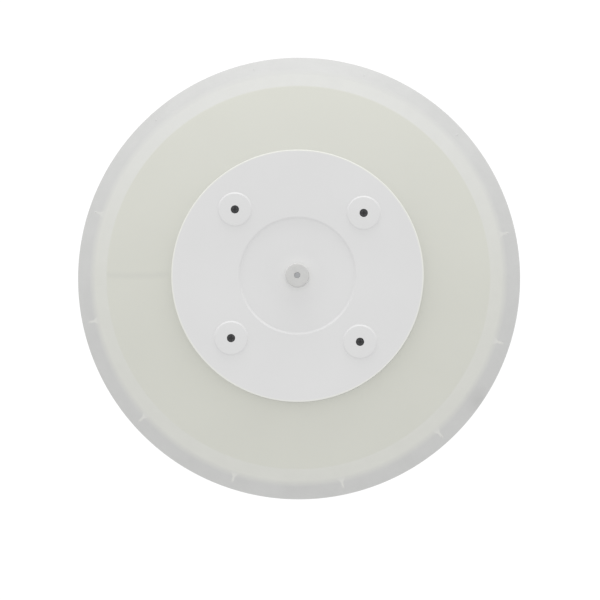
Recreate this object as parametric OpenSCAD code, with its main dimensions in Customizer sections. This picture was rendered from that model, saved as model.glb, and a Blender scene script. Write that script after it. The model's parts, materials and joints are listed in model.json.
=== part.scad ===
// Combination heat detector: twist-on head with a pneumatic chamber, on a round mounting base.
// Millimetres. Z = 0 is the ceiling face of the base and +Z points out of the sensing face.

/* [Mounting base] */
// Outside diameter of the mounting base
base_d = 117; // [116.6:0.2:117.4]
// Height of the straight side of the base
base_side_h = 8; // [7.8:0.1:8.2]
// Thickness of the base plate
plate_t = 2.5; // [2.3:0.1:2.7]
// Distance between the two slots for the box screws
slot_spacing = 60; // [58:0.5:61]
// End-to-end length of a slot
slot_len = 10; // [8:0.5:11]
// Width of a slot
slot_w = 4.6; // [4.2:0.1:5]
// Diameter of the cable entry
entry_d = 22; // [18:0.5:24]

/* [Head shell] */
// Outside diameter of the head's rim
head_d = 120; // [119.6:0.2:120.4]
// Radius where the conical face meets the shoulder
face_edge_r = 51.6; // [51:0.1:52]
// Slope of the conical face in degrees
face_slope = 15; // [14:0.5:16]
// Slope of the band between the face and the shoulder in degrees
band_slope = 22; // [20:0.5:24]
// Slope of the rim outside the shoulder in degrees
rim_slope = 38; // [36:0.5:40]
// Number of grip ribs around the head
rib_count = 12; // [6:1:24]
// Angle of the first grip rib
rib_phase = 13.7; // [0:0.1:29]
// Thickness of a grip rib
rib_t = 0.56; // [0.5:0.02:0.8]

/* [Centre cap] */
// Diameter of the raised cap
cap_d = 67.6; // [67:0.1:68]
// Height of the cap's top face above the ceiling
cap_top_z = 29.2; // [29.1:0.1:29.4]
// Side of the square that the four cap screws make
cap_screw_square = 34.5; // [33:0.5:36]
// Diameter of the round pads
pad_d = 9.3; // [9:0.1:9.6]
// Height of the round pads
pad_h = 0.35; // [0.2:0.05:0.4]
// Diameter of the centre recess
recess_d = 31.6; // [31:0.1:32]
// Depth of the centre recess
recess_depth = 0.45; // [0.4:0.05:0.5]

/* [Heat collector] */
// Diameter of the hub that stands out of the recess
hub_d = 6.3; // [6:0.1:6.8]
// Height of the hub above the recess floor
hub_h = 2.6; // [2.5:0.1:3]
// Travel of the plunger when the solder melts
plunger_travel = 3; // [2:0.1:3]

/* [Pneumatic chamber] */
// Radius of the diaphragm
diaphragm_r = 16; // [15.5:0.1:16]
// Number of corrugations in the diaphragm
corrugations = 3; // [2:1:4]
// Travel of the diaphragm's button
button_travel = 0.7; // [0.5:0.1:0.7]

/* [Hidden] */
$fn = 96;
// Overlap between shapes that are joined
eps = 0.05;
// How far a cutter runs past the face it opens
over = 1;
// Length of a cutter that goes right through
through = 20;

// Colours
base_white = [0.87, 0.87, 0.86];
face_cream = [0.84, 0.845, 0.80];
cap_white = [0.88, 0.88, 0.87];
phenolic = [0.16, 0.14, 0.13];
rubber_black = [0.08, 0.08, 0.08];
brass = [0.78, 0.62, 0.32];
bronze = [0.76, 0.52, 0.34];
steel = [0.70, 0.71, 0.73];
dark_steel = [0.20, 0.20, 0.21];
aluminium = [0.76, 0.76, 0.76];
solder_grey = [0.58, 0.58, 0.60];

// Mounting base
base_r = base_d / 2;
base_wall_t = 1.6;
spigot_t = 0.8;
base_inner_r = base_r - base_wall_t;
base_edge = 0.3;
spigot_ro = base_inner_r + spigot_t;
spigot_top_z = base_side_h + 2.5;
back_edge = 0.4;
back_recess = 0.8;
back_rim_w = 4.5;
back_boss_w = 2.6;
back_rib_w = 1.6;
back_rib_count = 8;
entry_collar_w = 1.8;
entry_collar_h = 1.5;

// Bayonet: hooks on the base, lugs on the head
hook_angles = [90, 210, 330];
hook_span = 24;
hook_wall_ri = 48.5;
hook_wall_ro = 50.5;
hook_lip_ri = 45.5;
hook_lip_z = 6.7;
hook_top_z = 8.2;
hook_stop_span = 3;
lug_span = 23;
lug_ri = 42.5;
lug_skirt_ro = 44.5;
lug_ro = 48;
lug_z = 5;
lug_t = 1.4;

// Terminals
terminal_angles = [45, 135, 225, 315];
terminal_ri = 25.5;
terminal_ro = 41;
terminal_w = 8;
terminal_t = 0.8;
post_margin = 0.5;
post_top_z = 4.3;
terminal_screw_r = 30;
terminal_thread_r = 1.75;
washer_w = 8;
washer_t = 0.8;
washer_hole_r = 1.8;
terminal_head_r = 3;
terminal_head_h = 1.7;
terminal_shank_r = 1.7;
terminal_shank_bottom = 2.9;
terminal_pilot_r = 2;
terminal_pilot_z = 2.6;
screw_slot_w = 0.8;

// Head shell
head_r = head_d / 2;
shell_t = 2;
skirt_gap = 0.3;
skirt_edge = 0.25;
skirt_draft = 0.8;
skirt_bottom_z = base_side_h + skirt_gap;
skirt_ri = head_r - shell_t;
barrel_r = 56.3;
barrel_bottom_z = 9.5;
barrel_root_z = 17;
face_edge_z = 21;
band_end_r = 55;
band_end_z = face_edge_z - (band_end_r - face_edge_r) * tan(band_slope);
shoulder_r = 6.6;
shoulder_x = band_end_r - shoulder_r * sin(band_slope);
shoulder_z = band_end_z - shoulder_r * cos(band_slope);
rim_start_r = shoulder_x + shoulder_r * sin(rim_slope);
rim_start_z = shoulder_z + shoulder_r * cos(rim_slope);
rim_edge_z = rim_start_z - (head_r - rim_start_r) * tan(rim_slope);
rim_edge_r = 0.7;
cap_r = cap_d / 2;
seat_gap = 0.05;
seat_r = cap_r + seat_gap;
seat_z = 25.3;
seat_t = 2;
seat_open_r = 19.5;
face_inner_z = face_edge_z + (face_edge_r - seat_r) * tan(face_slope);
shell_drop = shell_t / cos(face_slope);
rib_slope = 20;
rib_root_r = band_end_r - 0.4;
rib_root_sink = 0.05;
rib_root_half_w = 3.3;
rib_neck_r = 57.5;
rib_end_r = 58.7;
rib_bottom_z = 16.6;
rib_steps = 6;
head_screw_angles = [30, 150, 270];
head_screw_r = 48;
head_boss_r = 2.6;
head_pilot_r = 1.1;
head_pilot_top = 20.3;
head_boss_top = 20.9;
shoulder_thick = 0.6;
seat_lap = 1;

// Centre cap
cap_t = 2.2;
cap_wall_t = 2;
cap_edge = 0.25;
recess_draft = 0.5;
pad_root = 0.5;
pad_edge_w = 0.4;
cap_half = cap_screw_square / 2;
cap_post_r = 3;
cap_pilot_r = 0.65;
cap_pilot_bottom = 20.2;
cap_boss_bottom = 19.6;
cap_hole_r = 0.8;
cap_head_r = 1.1;
cap_head_seat_z = cap_top_z - 1.2;
cap_head_h = 1.25;
cap_head_gap = 0.05;
cap_shank_r = 0.6;
cap_shank_bottom = 20.6;
cross_w = 0.3;
cross_l = 1.4;
cross_depth = 0.5;
seal_ri = 29.9;
seal_ro = 31.6;
seal_h = 1.3;

// Heat collector and plunger
hub_r = hub_d / 2;
recess_floor_z = cap_top_z - recess_depth;
hub_top_z = recess_floor_z + hub_h;
hub_round = 0.5;
neck_r = 2.6;
neck_hole_r = 2.65;
neck_bottom_z = 20.9;
bore_r = 1.9;
alloy_z = recess_floor_z + 0.3;
alloy_h = 1.5;
pin_hole_r = 0.8;
pin_r = 0.75;
alloy_r = bore_r - 0.02;
guide_r = bore_r - 0.02;
pin_sink = 0.1;
spring_gap = 0.05;
nut_h = 1.9;
nut_corner_r = 4.3;
guide_h = 1.2;
tail_r = 1;
guide_hole_r = 1.05;
collar_r = 1.75;
collar_gap = 0.1;
collar_z = neck_bottom_z + guide_h + plunger_travel + collar_gap;
collar_h = 1;
tail_bottom_z = 21.4;
spring_wire_r = 0.22;
spring_mean_r = 1.3;
spring_turns = 4;
spring_steps = 14;
spring_sides = 8;

// Chamber plate and diaphragm
chamber_r = 54;
chamber_z = 15.5;
chamber_top_z = 17.5;
hub_boss_r = 20.5;
hub_boss_z = 14.5;
dish_r = 13.5;
dish_z = 16;
rod_r = 1.2;
rod_hole_r = 1.25;
chamber_screw_hole_r = 1.5;
screw_end_gap = 0.2;
ring_ri = 13.6;
ring_step_r = diaphragm_r + 0.1;
ring_ro = 21;
ring_top_z = 19.4;
ring_screw_angles = [60, 180, 300];
ring_screw_r = 18.8;
ring_shank_r = 0.8;
ring_hole_r = 0.9;
ring_shank_bottom = 15.4;
ring_head_r = 1.5;
ring_head_h = 0.95;
small_slot_w = 0.5;
sheet_t = 0.25;
wave_h = 0.45;
wave_steps = 10;
centre_flat_r = 3.2;
rod_neck_r = 1.5;
button_r = 3;
button_top_z = 18.2;
button_low_z = 17;
rod_nose_r = 0.6;
rod_nose_h = 0.6;
rod_end_z = 13.65;
seal_ring_ri = 51;
seal_ring_ro = 52.4;
seal_ring_h = 1;
vent_pos = [-24, 24];
vent_r = 2;
vent_head_r = 3;
vent_head_h = 1;
vent_bore_r = 0.5;

// Contacts, hung under the chamber plate
leaf_z = 13.25;
leaf_t = 0.25;
leaf_root_x = -11;
leaf_tip_x = 6.5;
leaf_w = 4;
contact_x = 5;
contact_r = 1;
contact_h = 0.7;
contact_rivet_r = 0.8;
contact_rivet_h = 0.25;
block_x0 = -18.2;
block_w = 9;
block_low_z = 12.2;
leaf_screw_x = -15;
leaf_screw_y = 2.9;
small_head_r = 1.5;
small_head_h = 0.9;
small_shank_r = 0.7;
small_shank_top = 16.4;
strip_t = 0.6;
strip_w = 3.6;
strip_half_l = 29;
branch_w = 4;
riser_x = 19.2;
bracket_z = 9.6;
bracket_t = 0.8;
bracket_x0 = 2;
bracket_post_x = 14;
bracket_post_r = 2.6;
adjuster_r = 1.25;
adjuster_bottom = 8.2;
adjuster_head_r = 1.9;
adjuster_head_h = 0.9;
contact_gap = button_travel * (contact_x - leaf_root_x) / -leaf_root_x + 0.1;
adjuster_tip_h = 0.4;
adjuster_tip_r = 0.95;
leaf_root_gap = 0.4;
small_hole_r = 0.8;
bracket_screw_top = 14.2;

// Rear cover
cover_r = 54.1;
cover_z = 9;
cover_t = 2;
cover_in_z = cover_z + cover_t;
cover_rim_w = 2.4;
well_r = 22;
well_wall = 1.5;
well_z = 6;
well_floor_t = 1.5;
cover_post_r = 3;
cover_sink_r = 2.6;
cover_sink_h = 1.6;
cover_head_r = 2.4;
cover_head_h = 1.4;
cover_shank_r = 1.05;
cover_shank_top = 20;
cover_cross_l = 3;
cover_cross_w = 0.6;
cover_cross_depth = 0.9;
tab_r = 38.5;
strip_x = tab_r * cos(terminal_angles[0]);
tab_w = 4.4;
tab_t = 0.5;
tab_foot_l = 7.2;
tab_foot_y = -3;
tab_tip_z = 5.35;
tab_tip_y = -0.4;
tab_end_y = -3.2;
tab_rise = 0.9;
tab_lean = 1.2;
tab_skin = 0.6;
tab_heel = 0.1;
tab_curl = 0.2;
rivet_r = 0.9;
rivet_head_r = 1.5;
rivet_head_h = 0.5;

// Helpers

// A solid of revolution between two angles
module arc_block(ri, ro, z, h, centre, span) {
    rotate([0, 0, centre - span / 2])
        rotate_extrude(angle = span)
            translate([ri, z])
                square([ro - ri, h]);
}

module tube(ro, ri, z, h) {
    translate([0, 0, z])
        difference() {
            cylinder(r = ro, h = h);
            translate([0, 0, -eps])
                cylinder(r = ri, h = h + 2 * eps);
        }
}

module peg(r, z, h) {
    translate([0, 0, z])
        cylinder(r = r, h = h);
}

// A box that is centred on Y and starts at x and z
module bar(x, z, l, w, h) {
    translate([x, -w / 2, z])
        cube([l, w, h]);
}

module at_polar(r, angles) {
    for (a = angles)
        rotate([0, 0, a])
            translate([r, 0, 0])
                children();
}

module at_cap_screws() {
    for (x = [-cap_half, cap_half])
        for (y = [-cap_half, cap_half])
            translate([x, y, 0])
                children();
}

module slot_cut(z, h, l, w) {
    for (x = [-(l - w) / 2, (l - w) / 2])
        translate([x, 0, z])
            cylinder(d = w, h = h);
    bar(-(l - w) / 2, z, l - w, w, h);
}

module at_slots() {
    for (x = [-slot_spacing / 2, slot_spacing / 2])
        translate([x, 0, 0])
            children();
}

function arc_points(cx, cy, r, a0, a1, n) =
    [for (i = [0:n]) let (a = a0 + (a1 - a0) * i / n) [cx + r * cos(a), cy + r * sin(a)]];

// Mounting base

module base_shell() {
    rotate_extrude()
        polygon([
            [0, 0], [base_r - back_edge, 0], [base_r, back_edge],
            [base_r, base_side_h - base_edge], [base_r - base_edge, base_side_h],
            [spigot_ro, base_side_h], [spigot_ro, spigot_top_z], [base_inner_r, spigot_top_z],
            [base_inner_r, plate_t], [0, plate_t]
        ]);
}

module back_pockets() {
    h = back_recess + 2 * over;
    difference() {
        peg(base_r - back_rim_w, -eps, back_recess + eps);
        peg(entry_d / 2 + back_boss_w, -over, h);
        at_slots()
            slot_cut(-over, h, slot_len + 2 * back_boss_w, slot_w + 2 * back_boss_w);
        for (i = [0:back_rib_count - 1])
            rotate([0, 0, 360 * i / back_rib_count])
                bar(0, -over, base_r, back_rib_w, h);
    }
}

// A hook: an outer wall, a lip that the lug slides under, and a stop that closes one end
module hook(a) {
    span = hook_span + hook_stop_span;
    middle = a - hook_stop_span / 2;
    z = plate_t - eps;
    arc_block(hook_wall_ri, hook_wall_ro, z, hook_top_z - z, middle, span);
    arc_block(hook_lip_ri, hook_wall_ro, hook_lip_z, hook_top_z - hook_lip_z, middle, span);
    arc_block(hook_lip_ri, hook_wall_ro, z, hook_top_z - z, a - span / 2, hook_stop_span);
}

module mounting_base() {
    post_l = terminal_ro - terminal_ri + 2 * post_margin;
    color(base_white)
        difference() {
            union() {
                base_shell();
                for (a = hook_angles)
                    hook(a);
                for (a = terminal_angles)
                    rotate([0, 0, a])
                        bar(terminal_ri - post_margin, plate_t - eps, post_l,
                            terminal_w + 2 * post_margin, post_top_z - plate_t + eps);
                peg(entry_d / 2 + entry_collar_w, plate_t - eps, entry_collar_h);
            }
            back_pockets();
            peg(entry_d / 2, -over, through);
            at_slots()
                slot_cut(-over, plate_t + 2 * over, slot_len, slot_w);
            at_polar(terminal_screw_r, terminal_angles)
                peg(terminal_pilot_r, terminal_pilot_z, post_top_z);
        }
}

module base_terminals() {
    color(brass)
        for (a = terminal_angles)
            rotate([0, 0, a])
                difference() {
                    bar(terminal_ri, post_top_z, terminal_ro - terminal_ri, terminal_w, terminal_t);
                    translate([terminal_screw_r, 0, 0])
                        peg(terminal_thread_r, 0, through);
                }
}

module clamp_washers() {
    z = post_top_z + terminal_t;
    color(steel)
        at_polar(terminal_screw_r, terminal_angles)
            difference() {
                bar(-washer_w / 2, z, washer_w, washer_w, washer_t);
                peg(washer_hole_r, 0, through);
            }
}

module terminal_screws() {
    head_z = post_top_z + terminal_t + washer_t;
    color(steel)
        at_polar(terminal_screw_r, terminal_angles)
            difference() {
                union() {
                    peg(terminal_shank_r, terminal_shank_bottom, head_z - terminal_shank_bottom + eps);
                    peg(terminal_head_r, head_z, terminal_head_h);
                }
                bar(-terminal_head_r - over, head_z + terminal_head_h - screw_slot_w,
                    2 * terminal_head_r + 2 * over, screw_slot_w, screw_slot_w + over);
            }
}

// Head shell

// Half the width of a grip rib, which narrows along a hollow curve to its plain neck
function rib_half_w(r) =
    let (t = max(0, (rib_neck_r - r) / (rib_neck_r - rib_root_r)))
    rib_t / 2 + (rib_root_half_w - rib_t / 2) * pow(t, 2);

// A fin that carries the slope of the band out over the steeper rim
module grip_rib() {
    run = [for (i = [0:rib_steps]) rib_root_r + (rib_neck_r - rib_root_r) * i / rib_steps];
    right = [for (r = concat(run, [rib_end_r])) [r, -rib_half_w(r)]];
    left = [for (i = [len(right) - 1:-1:0]) [right[i][0], -right[i][1]]];
    root_z = band_end_z + (band_end_r - rib_root_r) * tan(band_slope) - rib_root_sink;
    slope = tan(rib_slope);
    intersection() {
        translate([0, 0, rib_bottom_z])
            linear_extrude(root_z - rib_bottom_z)
                polygon(concat(right, left));
        rotate([90, 0, 0])
            linear_extrude(3 * rib_root_half_w, center = true)
                polygon([
                    [rib_root_r - over, 0], [rib_end_r + over, 0],
                    [rib_end_r + over, root_z - (rib_end_r + over - rib_root_r) * slope],
                    [rib_root_r - over, root_z + over * slope]
                ]);
    }
}

module shell_profile() {
    turn = 90 - rim_slope;
    edge_z = rim_edge_z - rim_edge_r * tan(turn / 2);
    rim_drop = shell_t / cos(rim_slope);
    skirt_root_z = rim_edge_z + shell_t * tan(rim_slope) - rim_drop;
    barrel_flange_z = skirt_root_z + (skirt_ri - barrel_r) * tan(rim_slope);
    barrel_ri = barrel_r - shell_t;
    foot_r = head_r - skirt_draft;
    polygon(concat(
        [[barrel_ri, barrel_bottom_z], [barrel_r, barrel_bottom_z], [barrel_r, barrel_flange_z],
         [skirt_ri, skirt_root_z], [skirt_ri, skirt_bottom_z], [foot_r - skirt_edge, skirt_bottom_z],
         [foot_r, skirt_bottom_z + skirt_edge]],
        arc_points(head_r - rim_edge_r, edge_z, rim_edge_r, 0, turn, 4),
        arc_points(shoulder_x, shoulder_z, shoulder_r, turn, 90 - band_slope, 4),
        [[face_edge_r, face_edge_z], [seat_r, face_inner_z], [seat_r, seat_z],
         [seat_open_r, seat_z], [seat_open_r, seat_z - seat_t],
         [seat_r - seat_lap, seat_z - seat_t], [face_edge_r, face_edge_z - shell_drop],
         [barrel_ri - shoulder_thick, barrel_root_z + seat_lap], [barrel_ri, barrel_root_z]]
    ));
}

module detector_body() {
    color(face_cream)
        difference() {
            union() {
                rotate_extrude()
                    shell_profile();
                at_cap_screws()
                    peg(cap_post_r, cap_boss_bottom, seat_z - seat_t / 2 - cap_boss_bottom);
                at_polar(head_screw_r, head_screw_angles)
                    peg(head_boss_r, chamber_top_z, head_boss_top - chamber_top_z);
                for (i = [0:rib_count - 1])
                    rotate([0, 0, rib_phase + 360 * i / rib_count])
                        grip_rib();
            }
            at_cap_screws()
                peg(cap_pilot_r, cap_pilot_bottom, through);
            at_polar(head_screw_r, head_screw_angles)
                peg(head_pilot_r, chamber_top_z - over, head_pilot_top - chamber_top_z + over);
        }
}

module pad() {
    translate([0, 0, cap_top_z])
        rotate_extrude()
            polygon([
                [0, -pad_root], [pad_d / 2, -pad_root], [pad_d / 2, 0],
                [pad_d / 2 - pad_edge_w, pad_h], [0, pad_h]
            ]);
}

module centre_cap() {
    under_z = cap_top_z - cap_t;
    color(cap_white)
        difference() {
            union() {
                rotate_extrude()
                    polygon([
                        [neck_hole_r, under_z], [seal_ri, under_z], [seal_ri, seat_z + seal_h],
                        [cap_r - cap_wall_t, seat_z + seal_h], [cap_r - cap_wall_t, seat_z],
                        [cap_r, seat_z], [cap_r, cap_top_z - cap_edge], [cap_r - cap_edge, cap_top_z],
                        [recess_d / 2, cap_top_z], [recess_d / 2 - recess_draft, recess_floor_z],
                        [neck_hole_r, recess_floor_z]
                    ]);
                at_cap_screws()
                    pad();
                at_cap_screws()
                    peg(cap_post_r, seat_z, under_z - seat_z + pad_root);
            }
            at_cap_screws() {
                peg(cap_hole_r, seat_z - over, through);
                peg(cap_head_r + cap_head_gap, cap_head_seat_z, through);
            }
        }
}

module cap_seal() {
    color(rubber_black)
        tube(seal_ro, seal_ri, seat_z, seal_h);
}

module cap_screws() {
    head_top = cap_head_seat_z + cap_head_h;
    color(dark_steel)
        at_cap_screws()
            difference() {
                union() {
                    peg(cap_shank_r, cap_shank_bottom, cap_head_seat_z - cap_shank_bottom + eps);
                    peg(cap_head_r, cap_head_seat_z, cap_head_h);
                }
                for (a = [0, 90])
                    rotate([0, 0, a])
                        bar(-cross_l / 2, head_top - cross_depth, cross_l, cross_w, over);
            }
}

// Fixed-temperature element

module heat_collector() {
    color(aluminium)
        rotate_extrude()
            polygon(concat(
                [[bore_r, neck_bottom_z], [neck_r, neck_bottom_z], [neck_r, recess_floor_z],
                 [hub_r, recess_floor_z]],
                arc_points(hub_r - hub_round, hub_top_z - hub_round, hub_round, 0, 90, 5),
                [[pin_hole_r, hub_top_z], [pin_hole_r, alloy_z + alloy_h], [bore_r, alloy_z + alloy_h]]
            ));
}

module collector_nut() {
    nut_z = cap_top_z - cap_t - nut_h;
    color(brass)
        difference() {
            translate([0, 0, nut_z])
                cylinder(r = nut_corner_r, h = nut_h, $fn = 6);
            peg(neck_hole_r, nut_z - over, nut_h + 2 * over);
        }
}

module fusible_alloy() {
    color(solder_grey)
        tube(alloy_r, pin_hole_r, alloy_z, alloy_h);
}

module plunger_guide() {
    color(brass)
        tube(guide_r, guide_hole_r, neck_bottom_z, guide_h);
}

module release_plunger() {
    color(steel) {
        peg(pin_r, collar_z + collar_h - eps, hub_top_z - pin_sink - collar_z - collar_h + eps);
        peg(collar_r, collar_z, collar_h);
        peg(tail_r, tail_bottom_z, collar_z - tail_bottom_z + eps);
    }
}

// Points of the spring's wire, ring by ring along the helix
module release_spring() {
    z0 = collar_z + collar_h + spring_wire_r + spring_gap;
    z1 = alloy_z - spring_wire_r - spring_gap;
    rings = spring_turns * spring_steps;
    points = [
        for (i = [0:rings])
            for (j = [0:spring_sides - 1])
                let (
                    a = 360 * i / spring_steps,
                    b = 360 * j / spring_sides,
                    r = spring_mean_r + spring_wire_r * cos(b)
                )
                [r * cos(a), r * sin(a), z0 + (z1 - z0) * i / rings + spring_wire_r * sin(b)]
    ];
    sides = [
        for (i = [0:rings - 1])
            for (j = [0:spring_sides - 1])
                let (k = (j + 1) % spring_sides, p = i * spring_sides, q = p + spring_sides)
                [p + j, p + k, q + k, q + j]
    ];
    first = [for (j = [spring_sides - 1:-1:0]) j];
    last = [for (j = [0:spring_sides - 1]) rings * spring_sides + j];
    color(steel)
        polyhedron(points = points, faces = concat(sides, [first, last]), convexity = 10);
}

// Pneumatic chamber

module chamber_plate() {
    small_hole_z = hub_boss_z - over;
    color(phenolic)
        difference() {
            union() {
                peg(chamber_r, chamber_z, chamber_top_z - chamber_z);
                peg(hub_boss_r, hub_boss_z, chamber_z - hub_boss_z + eps);
                translate([bracket_post_x, 0, 0])
                    peg(bracket_post_r, bracket_z + bracket_t, hub_boss_z - bracket_z - bracket_t + eps);
            }
            peg(dish_r, dish_z, through);
            peg(rod_hole_r, hub_boss_z - over, through);
            at_polar(head_screw_r, head_screw_angles)
                peg(chamber_screw_hole_r, chamber_z - over, through);
            at_polar(ring_screw_r, ring_screw_angles)
                peg(ring_shank_r, ring_shank_bottom - screw_end_gap, through);
            for (y = [-leaf_screw_y, leaf_screw_y])
                translate([leaf_screw_x, y, 0])
                    peg(small_shank_r, small_hole_z, small_shank_top + screw_end_gap - small_hole_z);
            translate([bracket_post_x, 0, 0])
                peg(small_shank_r, bracket_z, hub_boss_z - bracket_z);
            translate([vent_pos[0], vent_pos[1], 0])
                peg(vent_r, chamber_z - over, through);
        }
}

module chamber_seal() {
    color(rubber_black)
        tube(seal_ring_ro, seal_ring_ri, chamber_top_z, seal_ring_h);
}

module clamp_ring() {
    color(aluminium)
        difference() {
            rotate_extrude()
                polygon([
                    [ring_ri, chamber_top_z + sheet_t], [ring_step_r, chamber_top_z + sheet_t],
                    [ring_step_r, chamber_top_z], [ring_ro, chamber_top_z],
                    [ring_ro, ring_top_z], [ring_ri, ring_top_z]
                ]);
            at_polar(ring_screw_r, ring_screw_angles)
                peg(ring_hole_r, chamber_top_z - over, through);
        }
}

module clamp_ring_screws() {
    color(steel)
        at_polar(ring_screw_r, ring_screw_angles)
            difference() {
                union() {
                    peg(ring_shank_r, ring_shank_bottom, ring_top_z - ring_shank_bottom + eps);
                    peg(ring_head_r, ring_top_z, ring_head_h);
                }
                bar(-ring_head_r - over, ring_top_z + ring_head_h - small_slot_w,
                    2 * ring_head_r + 2 * over, small_slot_w, over);
            }
}

module breather_vent() {
    color(bronze)
        translate([vent_pos[0], vent_pos[1], 0])
            difference() {
                union() {
                    peg(vent_r, chamber_z, chamber_top_z - chamber_z + eps);
                    peg(vent_head_r, chamber_top_z, vent_head_h);
                }
                peg(vent_bore_r, chamber_z - over, through);
            }
}

function wave_z(r) =
    let (span = (ring_ri - centre_flat_r) / corrugations, t = (ring_ri - r) / span)
    wave_h * (1 - cos(360 * t)) / 2;

function wave_points(offset, from_r, to_r) =
    [for (i = [0:corrugations * wave_steps])
        let (r = from_r + (to_r - from_r) * i / (corrugations * wave_steps))
        [r, chamber_top_z + offset + wave_z(r)]];

module diaphragm() {
    color(bronze)
        rotate_extrude()
            polygon(concat(
                [[diaphragm_r, chamber_top_z], [diaphragm_r, chamber_top_z + sheet_t]],
                wave_points(sheet_t, ring_ri, centre_flat_r),
                [[rod_neck_r, chamber_top_z + sheet_t], [rod_neck_r, chamber_top_z]],
                wave_points(0, centre_flat_r, ring_ri)
            ));
}

module diaphragm_button() {
    color(phenolic) {
        peg(button_r, chamber_top_z + sheet_t, button_top_z - chamber_top_z - sheet_t);
        peg(rod_neck_r, button_low_z, button_top_z - button_low_z);
        peg(button_r, button_low_z, chamber_top_z - button_low_z);
        peg(rod_r, rod_end_z + rod_nose_h, button_low_z - rod_end_z - rod_nose_h + eps);
        peg(rod_nose_r, rod_end_z, rod_nose_h + eps);
    }
}

// Contacts

module leaf_block() {
    l = leaf_root_x - leaf_root_gap - block_x0;
    color(phenolic)
        difference() {
            union() {
                bar(block_x0, leaf_z + leaf_t, l, block_w, hub_boss_z - leaf_z - leaf_t);
                bar(block_x0, block_low_z, l, block_w, leaf_z - block_low_z);
            }
            for (y = [-leaf_screw_y, leaf_screw_y])
                translate([leaf_screw_x, y, 0])
                    peg(small_hole_r, 0, through);
        }
}

module leaf_screws() {
    color(steel)
        for (y = [-leaf_screw_y, leaf_screw_y])
            translate([leaf_screw_x, y, 0]) {
                peg(small_head_r, block_low_z - small_head_h, small_head_h);
                peg(small_shank_r, block_low_z - eps, small_shank_top - block_low_z + eps);
            }
}

// A T-shaped strip that joins two tab rivets and runs towards the middle, on the -X side
module side_strip(reach_x) {
    difference() {
        union() {
            translate([-strip_x, 0, 0])
                bar(-strip_w / 2, cover_in_z, strip_w, 2 * strip_half_l, strip_t);
            bar(-strip_x, cover_in_z, strip_x - reach_x, branch_w, strip_t);
        }
        for (y = [-strip_x, strip_x])
            translate([-strip_x, y, 0])
                peg(rivet_r, cover_in_z - over, through);
    }
}

module leaf_strip() {
    color(brass) {
        side_strip(riser_x);
        bar(-riser_x - leaf_t, cover_in_z, leaf_t, branch_w, leaf_z + leaf_t - cover_in_z);
        bar(-riser_x - eps, leaf_z, riser_x + leaf_root_x - leaf_root_gap + eps, branch_w, leaf_t);
    }
}

module contact_bracket() {
    color(brass)
        difference() {
            union() {
                mirror([1, 0, 0])
                    side_strip(riser_x);
                bar(riser_x - bracket_t, bracket_z, bracket_t, branch_w, cover_in_z + strip_t - bracket_z);
                bar(riser_x - bracket_t, cover_in_z, 2 * bracket_t, branch_w, strip_t);
                bar(bracket_x0, bracket_z, riser_x - bracket_x0, branch_w, bracket_t);
            }
            translate([contact_x, 0, 0])
                peg(adjuster_r, 0, through);
            translate([bracket_post_x, 0, 0])
                peg(small_hole_r, 0, through);
        }
}

module bracket_screw() {
    color(steel)
        translate([bracket_post_x, 0, 0]) {
            peg(small_head_r, bracket_z - small_head_h, small_head_h);
            peg(small_shank_r, bracket_z - eps, bracket_screw_top - bracket_z + eps);
        }
}

module adjusting_screw() {
    tip_z = leaf_z - contact_h - contact_gap;
    color(steel)
        translate([contact_x, 0, 0])
            difference() {
                union() {
                    peg(adjuster_r, adjuster_bottom, tip_z - adjuster_tip_h - adjuster_bottom);
                    peg(adjuster_tip_r, tip_z - adjuster_tip_h - eps, adjuster_tip_h + eps);
                    peg(adjuster_head_r, adjuster_bottom, adjuster_head_h);
                }
                bar(-adjuster_head_r - over, adjuster_bottom - over,
                    2 * adjuster_head_r + 2 * over, small_slot_w, small_slot_w + over);
            }
}

// The leaf, with the round root that it bends about
module contact_leaf() {
    color(bronze)
        difference() {
            union() {
                bar(leaf_root_x, leaf_z, leaf_tip_x - leaf_root_x, leaf_w, leaf_t);
                translate([leaf_root_x, leaf_w / 2, leaf_z + leaf_t / 2])
                    rotate([90, 0, 0])
                        cylinder(d = leaf_t, h = leaf_w);
            }
            translate([contact_x, 0, 0])
                peg(contact_rivet_r, 0, through);
        }
}

module leaf_contact() {
    color(steel)
        translate([contact_x, 0, 0]) {
            peg(contact_r, leaf_z - contact_h, contact_h);
            peg(contact_rivet_r, leaf_z - eps, leaf_t + contact_rivet_h + eps);
        }
}

// Rear cover

module lug(a) {
    arc_block(lug_ri, lug_skirt_ro, lug_z, cover_z - lug_z + eps, a, lug_span);
    arc_block(lug_skirt_ro - eps, lug_ro, lug_z, lug_t, a, lug_span);
}

module rear_cover() {
    color(phenolic)
        difference() {
            union() {
                rotate_extrude()
                    polygon([
                        [0, well_z], [well_r, well_z], [well_r, cover_z], [cover_r, cover_z],
                        [cover_r, chamber_z], [cover_r - cover_rim_w, chamber_z],
                        [cover_r - cover_rim_w, cover_in_z], [well_r - well_wall, cover_in_z],
                        [well_r - well_wall, well_z + well_floor_t], [0, well_z + well_floor_t]
                    ]);
                for (a = hook_angles)
                    lug(a);
                at_polar(head_screw_r, head_screw_angles)
                    peg(cover_post_r, cover_in_z - eps, chamber_z - cover_in_z + eps);
            }
            at_polar(head_screw_r, head_screw_angles) {
                peg(chamber_screw_hole_r, cover_z - over, through);
                peg(cover_sink_r, cover_z - over, cover_sink_h + over);
            }
            at_polar(tab_r, terminal_angles)
                peg(rivet_r, cover_z - over, through);
        }
}

module rear_cover_screws() {
    seat = cover_z + cover_sink_h;
    color(steel)
        at_polar(head_screw_r, head_screw_angles)
            difference() {
                union() {
                    peg(cover_head_r, seat - cover_head_h, cover_head_h);
                    peg(cover_shank_r, seat - eps, cover_shank_top - seat);
                }
                for (a = [0, 90])
                    rotate([0, 0, a])
                        bar(-cover_cross_l / 2, cover_z, cover_cross_l, cover_cross_w, cover_cross_depth);
            }
}

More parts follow.
